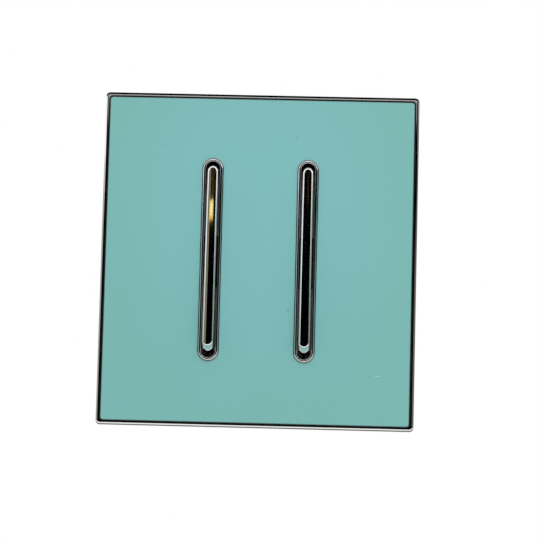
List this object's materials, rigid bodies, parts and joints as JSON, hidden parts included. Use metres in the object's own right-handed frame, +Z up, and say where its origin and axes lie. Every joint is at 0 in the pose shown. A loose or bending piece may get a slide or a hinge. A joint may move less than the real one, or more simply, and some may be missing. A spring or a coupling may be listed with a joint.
{
  "type": "double wall light switch",
  "caption": "Flush wall switch with a flat turquoise glass panel, a thin chrome edge frame and two slim upright chrome rockers.",
  "frame": {"origin": "midway between the two fixing slots, on the wall surface", "axes": "+X to the right as seen from the room, +Y into the wall, +Z up"},
  "size_m": [0.086, 0.0366, 0.091],
  "materials": {
    "frame_chrome": "polished",
    "bezel_chrome": "polished",
    "rocker_chrome": "polished",
    "turquoise_glass": "back-painted, satin",
    "carrier_plastic": "moulded",
    "cover_plastic": "moulded",
    "housing_plastic": "moulded",
    "cradle_plastic": "moulded",
    "plunger_plastic": "moulded",
    "zinc_steel": "zinc-plated",
    "cage_steel": "zinc-plated",
    "screw_steel": "zinc-plated",
    "pin_steel": "ground",
    "spring_steel": "drawn",
    "blade_copper": "pressed copper alloy",
    "contact_silver": "silver alloy",
    "strip_brass": "pressed"
  },
  "bodies": {
    "root": {"trim_frame": "frame_chrome", "front_panel": "turquoise_glass", "panel_carrier": "carrier_plastic", "mounting_yoke": "zinc_steel", "mechanism_cover": "cover_plastic", "rear_housing": "housing_plastic", "fixed_contacts": "contact_silver", "terminal_cages": "cage_steel", "terminal_screws": "screw_steel", "housing_screws": "screw_steel", "bezel_left": "bezel_chrome", "pivot_pin_left": "pin_steel", "upper_strip_left": "strip_brass", "lower_strip_left": "strip_brass", "common_strip_left": "strip_brass", "bezel_right": "bezel_chrome", "pivot_pin_right": "pin_steel", "upper_strip_right": "strip_brass", "lower_strip_right": "strip_brass", "common_strip_right": "strip_brass"},
    "rocker_left": {"rocker_cap_left": "rocker_chrome", "rocker_cradle_left": "cradle_plastic", "plunger_spring_left": "spring_steel"},
    "plunger_left": {"plunger_left": "plunger_plastic"},
    "blade_left": {"contact_blade_left": "blade_copper", "moving_contacts_left": "contact_silver"},
    "rocker_right": {"rocker_cap_right": "rocker_chrome", "rocker_cradle_right": "cradle_plastic", "plunger_spring_right": "spring_steel"},
    "plunger_right": {"plunger_right": "plunger_plastic"},
    "blade_right": {"contact_blade_right": "blade_copper", "moving_contacts_right": "contact_silver"}
  },
  "joints": [
    {"name": "rocker_left_tip", "type": "hinge", "parent": "root", "child": "rocker_left", "pos_m": [-0.01297, 0.001, 0], "axis": [1, 0, 0], "range_deg": [0, 8.2]},
    {"name": "plunger_left_slide", "type": "slide", "parent": "rocker_left", "child": "plunger_left", "axis": [0, -0.9974, 0.0715], "range_m": [0, 0.0005], "stiffness_N_per_m": 300, "springref_m": -0.001, "deforming": ["plunger_spring_left"]},
    {"name": "blade_left_tip", "type": "hinge", "parent": "root", "child": "blade_left", "pos_m": [-0.01297, 0.0159, 0], "axis": [1, 0, 0], "range_deg": [-14, 0]},
    {"name": "rocker_right_tip", "type": "hinge", "parent": "root", "child": "rocker_right", "pos_m": [0.01297, 0.001, 0], "axis": [1, 0, 0], "range_deg": [0, 8.2]},
    {"name": "plunger_right_slide", "type": "slide", "parent": "rocker_right", "child": "plunger_right", "axis": [0, -0.9974, 0.0715], "range_m": [0, 0.0005], "stiffness_N_per_m": 300, "springref_m": -0.001, "deforming": ["plunger_spring_right"]},
    {"name": "blade_right_tip", "type": "hinge", "parent": "root", "child": "blade_right", "pos_m": [0.01297, 0.0159, 0], "axis": [1, 0, 0], "range_deg": [-14, 0]}
  ],
  "couplings": [
    {"joint": "blade_left_tip", "follows": "rocker_left_tip", "ratio": -1.7073},
    {"joint": "blade_right_tip", "follows": "rocker_right_tip", "ratio": -1.7073}
  ]
}
